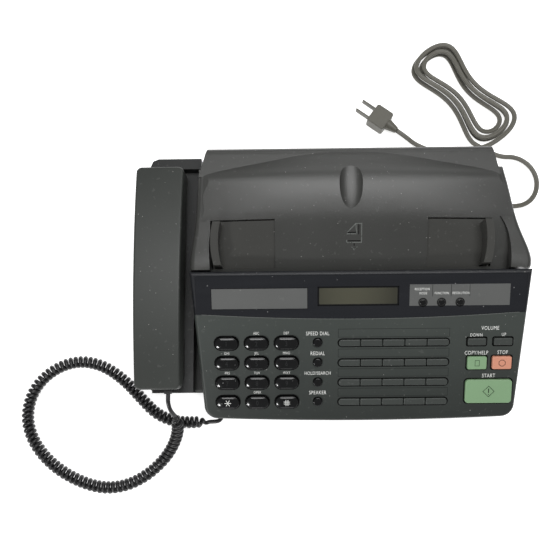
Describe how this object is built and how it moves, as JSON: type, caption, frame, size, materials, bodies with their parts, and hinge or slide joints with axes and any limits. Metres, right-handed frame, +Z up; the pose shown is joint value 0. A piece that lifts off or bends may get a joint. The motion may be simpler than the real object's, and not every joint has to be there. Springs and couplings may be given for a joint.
{
  "type": "desktop fax machine",
  "caption": "Desktop thermal fax machine with a hinged key panel, a lift-up paper cover, sliding document guides, a corded handset in a side cradle and a mains lead.",
  "frame": {"origin": "middle of the machine's footprint, without its leads, at the bottom of the rubber feet", "axes": "+X to the right as the user faces the keys, +Y to the back, +Z up"},
  "size_m": [0.5502, 0.4881, 0.1044],
  "materials": {
    "cabinet": "fine textured dark grey",
    "handset": "satin dark grey",
    "rubber": "matt",
    "steel": "plated",
    "board": "solder mask",
    "black_plastic": "moulded",
    "gear": "moulded",
    "roller": "ground",
    "paper": "coated thermal paper",
    "strip": "gloss black",
    "window": "clear",
    "curly_lead": "satin",
    "clear_plug": "moulded",
    "mains_lead": "satin grey",
    "dark_key": "satin black",
    "flat_key": "satin dark grey",
    "green_key": "pale green",
    "orange_key": "salmon orange"
  },
  "bodies": {
    "base": {"base_tray": "cabinet", "handset_cradle": "cabinet", "rubber_feet": "rubber", "case_screws": "steel", "main_board": "board", "drive_motor": "steel", "loudspeaker": "black_plastic", "line_jacks": "black_plastic", "thermal_head": "steel", "image_sensor": "black_plastic", "mains_strain_relief": "mains_lead", "mains_cord": "mains_lead", "mains_cord_hank": "mains_lead", "mains_plug": "mains_lead", "handset_cord": "curly_lead", "base_cord_plug": "clear_plug"},
    "panel": {"panel_housing": "cabinet", "display_bezel": "strip", "display_window": "window", "panel_board": "board"},
    "cover": {"top_cover": "cabinet"},
    "handset": {"handset_back": "handset", "handset_face": "handset", "handset_cord_plug": "clear_plug"},
    "hook": {"hook_switch": "black_plastic"},
    "left_guide": {"guide_left": "cabinet"},
    "right_guide": {"guide_right": "cabinet"},
    "pinion": {"guide_pinion": "gear"},
    "platen": {"platen_roller": "roller"},
    "feed": {"feed_roller": "roller"},
    "idler": {"idler_gear": "gear"},
    "motor_shaft": {"motor_gear": "gear"},
    "roll": {"paper_roll": "paper"},
    "volume": {"volume_rocker": "flat_key"},
    "dial_key_1_body": {"dial_key_1": "dark_key"},
    "dial_key_2_body": {"dial_key_2": "dark_key"},
    "dial_key_3_body": {"dial_key_3": "dark_key"},
    "dial_key_4_body": {"dial_key_4": "dark_key"},
    "dial_key_5_body": {"dial_key_5": "dark_key"},
    "dial_key_6_body": {"dial_key_6": "dark_key"},
    "dial_key_7_body": {"dial_key_7": "dark_key"},
    "dial_key_8_body": {"dial_key_8": "dark_key"},
    "dial_key_9_body": {"dial_key_9": "dark_key"},
    "dial_key_star_body": {"dial_key_star": "dark_key"},
    "dial_key_0_body": {"dial_key_0": "dark_key"},
    "dial_key_hash_body": {"dial_key_hash": "dark_key"},
    "memory_key_body": {"memory_key": "dark_key"},
    "redial_key_body": {"redial_key": "dark_key"},
    "hold_key_body": {"hold_key": "dark_key"},
    "speaker_key_body": {"speaker_key": "dark_key"},
    "mode_key_body": {"mode_key": "dark_key"},
    "menu_key_body": {"menu_key": "dark_key"},
    "fine_key_body": {"fine_key": "dark_key"},
    "copy_key_body": {"copy_key": "green_key"},
    "stop_key_body": {"stop_key": "orange_key"},
    "start_key_body": {"start_key": "green_key"},
    "memory_keys_1_body": {"memory_keys_1": "flat_key"},
    "memory_keys_2_body": {"memory_keys_2": "flat_key"},
    "memory_keys_3_body": {"memory_keys_3": "flat_key"},
    "memory_keys_4_body": {"memory_keys_4": "flat_key"}
  },
  "joints": [
    {"name": "panel_hinge", "type": "hinge", "parent": "base", "child": "panel", "pos_m": [0, -0.11679, 0.02783], "axis": [1, 0, 0], "range_deg": [0, 40]},
    {"name": "cover_hinge", "type": "hinge", "parent": "base", "child": "cover", "pos_m": [0, 0.121, 0.08], "axis": [-1, 0, 0], "range_deg": [0, 60]},
    {"name": "handset_lift", "type": "slide", "parent": "base", "child": "handset", "axis": [0, 0, 1], "range_m": [0, 0.09]},
    {"name": "hook_press", "type": "slide", "parent": "base", "child": "hook", "axis": [0, -0.0523, 0.9986], "range_m": [0, 0.004]},
    {"name": "left_guide_slide", "type": "slide", "parent": "cover", "child": "left_guide", "axis": [1, 0, 0], "range_m": [0, 0.034]},
    {"name": "right_guide_slide", "type": "slide", "parent": "cover", "child": "right_guide", "axis": [-1, 0, 0], "range_m": [0, 0.034]},
    {"name": "guide_pinion_spin", "type": "hinge", "parent": "cover", "child": "pinion", "pos_m": [0.02, 0.037, 0.062], "axis": [0, 0, 1], "range_deg": [0, 244]},
    {"name": "platen_spin", "type": "hinge", "parent": "base", "child": "platen", "pos_m": [0.028, 0.034, 0.04], "axis": [1, 0, 0], "continuous": true},
    {"name": "feed_spin", "type": "hinge", "parent": "base", "child": "feed", "pos_m": [0.028, -0.014, 0.04], "axis": [1, 0, 0], "continuous": true},
    {"name": "idler_spin", "type": "hinge", "parent": "base", "child": "idler", "pos_m": [0.158, 0.01, 0.02907], "axis": [1, 0, 0], "continuous": true},
    {"name": "motor_spin", "type": "hinge", "parent": "base", "child": "motor_shaft", "pos_m": [0.158, 0.05359, 0.02869], "axis": [1, 0, 0], "continuous": true},
    {"name": "roll_spin", "type": "hinge", "parent": "base", "child": "roll", "pos_m": [0.028, 0.084, 0.05], "axis": [1, 0, 0], "continuous": true},
    {"name": "volume_rock", "type": "hinge", "parent": "panel", "child": "volume", "pos_m": [0.1515, -0.05599, 0.0589], "axis": [0, 0.9278, 0.373], "range_deg": [-2.5, 2.5], "stiffness_Nm_per_rad": 0.05},
    {"name": "dial_key_1_press", "type": "slide", "parent": "panel", "child": "dial_key_1_body", "axis": [0, 0.373, -0.9278], "range_m": [0, 0.0012], "stiffness_N_per_m": 400, "springref_m": -0.0005},
    {"name": "dial_key_2_press", "type": "slide", "parent": "panel", "child": "dial_key_2_body", "axis": [0, 0.373, -0.9278], "range_m": [0, 0.0012], "stiffness_N_per_m": 400, "springref_m": -0.0005},
    {"name": "dial_key_3_press", "type": "slide", "parent": "panel", "child": "dial_key_3_body", "axis": [0, 0.373, -0.9278], "range_m": [0, 0.0012], "stiffness_N_per_m": 400, "springref_m": -0.0005},
    {"name": "dial_key_4_press", "type": "slide", "parent": "panel", "child": "dial_key_4_body", "axis": [0, 0.373, -0.9278], "range_m": [0, 0.0012], "stiffness_N_per_m": 400, "springref_m": -0.0005},
    {"name": "dial_key_5_press", "type": "slide", "parent": "panel", "child": "dial_key_5_body", "axis": [0, 0.373, -0.9278], "range_m": [0, 0.0012], "stiffness_N_per_m": 400, "springref_m": -0.0005},
    {"name": "dial_key_6_press", "type": "slide", "parent": "panel", "child": "dial_key_6_body", "axis": [0, 0.373, -0.9278], "range_m": [0, 0.0012], "stiffness_N_per_m": 400, "springref_m": -0.0005},
    {"name": "dial_key_7_press", "type": "slide", "parent": "panel", "child": "dial_key_7_body", "axis": [0, 0.373, -0.9278], "range_m": [0, 0.0012], "stiffness_N_per_m": 400, "springref_m": -0.0005},
    {"name": "dial_key_8_press", "type": "slide", "parent": "panel", "child": "dial_key_8_body", "axis": [0, 0.373, -0.9278], "range_m": [0, 0.0012], "stiffness_N_per_m": 400, "springref_m": -0.0005},
    {"name": "dial_key_9_press", "type": "slide", "parent": "panel", "child": "dial_key_9_body", "axis": [0, 0.373, -0.9278], "range_m": [0, 0.0012], "stiffness_N_per_m": 400, "springref_m": -0.0005},
    {"name": "dial_key_star_press", "type": "slide", "parent": "panel", "child": "dial_key_star_body", "axis": [0, 0.373, -0.9278], "range_m": [0, 0.0012], "stiffness_N_per_m": 400, "springref_m": -0.0005},
    {"name": "dial_key_0_press", "type": "slide", "parent": "panel", "child": "dial_key_0_body", "axis": [0, 0.373, -0.9278], "range_m": [0, 0.0012], "stiffness_N_per_m": 400, "springref_m": -0.0005},
    {"name": "dial_key_hash_press", "type": "slide", "parent": "panel", "child": "dial_key_hash_body", "axis": [0, 0.373, -0.9278], "range_m": [0, 0.0012], "stiffness_N_per_m": 400, "springref_m": -0.0005},
    {"name": "memory_key_press", "type": "slide", "parent": "panel", "child": "memory_key_body", "axis": [0, 0.373, -0.9278], "range_m": [0, 0.0012], "stiffness_N_per_m": 400, "springref_m": -0.0005},
    {"name": "redial_key_press", "type": "slide", "parent": "panel", "child": "redial_key_body", "axis": [0, 0.373, -0.9278], "range_m": [0, 0.0012], "stiffness_N_per_m": 400, "springref_m": -0.0005},
    {"name": "hold_key_press", "type": "slide", "parent": "panel", "child": "hold_key_body", "axis": [0, 0.373, -0.9278], "range_m": [0, 0.0012], "stiffness_N_per_m": 400, "springref_m": -0.0005},
    {"name": "speaker_key_press", "type": "slide", "parent": "panel", "child": "speaker_key_body", "axis": [0, 0.373, -0.9278], "range_m": [0, 0.0012], "stiffness_N_per_m": 400, "springref_m": -0.0005},
    {"name": "mode_key_press", "type": "slide", "parent": "panel", "child": "mode_key_body", "axis": [0, 0.373, -0.9278], "range_m": [0, 0.0012], "stiffness_N_per_m": 400, "springref_m": -0.0005},
    {"name": "menu_key_press", "type": "slide", "parent": "panel", "child": "menu_key_body", "axis": [0, 0.373, -0.9278], "range_m": [0, 0.0012], "stiffness_N_per_m": 400, "springref_m": -0.0005},
    {"name": "fine_key_press", "type": "slide", "parent": "panel", "child": "fine_key_body", "axis": [0, 0.373, -0.9278], "range_m": [0, 0.0012], "stiffness_N_per_m": 400, "springref_m": -0.0005},
    {"name": "copy_key_press", "type": "slide", "parent": "panel", "child": "copy_key_body", "axis": [0, 0.373, -0.9278], "range_m": [0, 0.0012], "stiffness_N_per_m": 400, "springref_m": -0.0005},
    {"name": "stop_key_press", "type": "slide", "parent": "panel", "child": "stop_key_body", "axis": [0, 0.373, -0.9278], "range_m": [0, 0.0012], "stiffness_N_per_m": 400, "springref_m": -0.0005},
    {"name": "start_key_press", "type": "slide", "parent": "panel", "child": "start_key_body", "axis": [0, 0.373, -0.9278], "range_m": [0, 0.0012], "stiffness_N_per_m": 400, "springref_m": -0.0005},
    {"name": "memory_keys_1_press", "type": "slide", "parent": "panel", "child": "memory_keys_1_body", "axis": [0, 0.373, -0.9278], "range_m": [0, 0.0012], "stiffness_N_per_m": 400, "springref_m": -0.0005},
    {"name": "memory_keys_2_press", "type": "slide", "parent": "panel", "child": "memory_keys_2_body", "axis": [0, 0.373, -0.9278], "range_m": [0, 0.0012], "stiffness_N_per_m": 400, "springref_m": -0.0005},
    {"name": "memory_keys_3_press", "type": "slide", "parent": "panel", "child": "memory_keys_3_body", "axis": [0, 0.373, -0.9278], "range_m": [0, 0.0012], "stiffness_N_per_m": 400, "springref_m": -0.0005},
    {"name": "memory_keys_4_press", "type": "slide", "parent": "panel", "child": "memory_keys_4_body", "axis": [0, 0.373, -0.9278], "range_m": [0, 0.0012], "stiffness_N_per_m": 400, "springref_m": -0.0005}
  ],
  "couplings": [
    {"joint": "hook_press", "follows": "handset_lift", "ratio": 0.044444},
    {"joint": "right_guide_slide", "follows": "left_guide_slide", "ratio": 1},
    {"joint": "guide_pinion_spin", "follows": "left_guide_slide", "rad_per_m": 125},
    {"joint": "feed_spin", "follows": "platen_spin", "ratio": 1},
    {"joint": "idler_spin", "follows": "platen_spin", "ratio": -1.1},
    {"joint": "motor_spin", "follows": "platen_spin", "ratio": -1.5714}
  ]
}
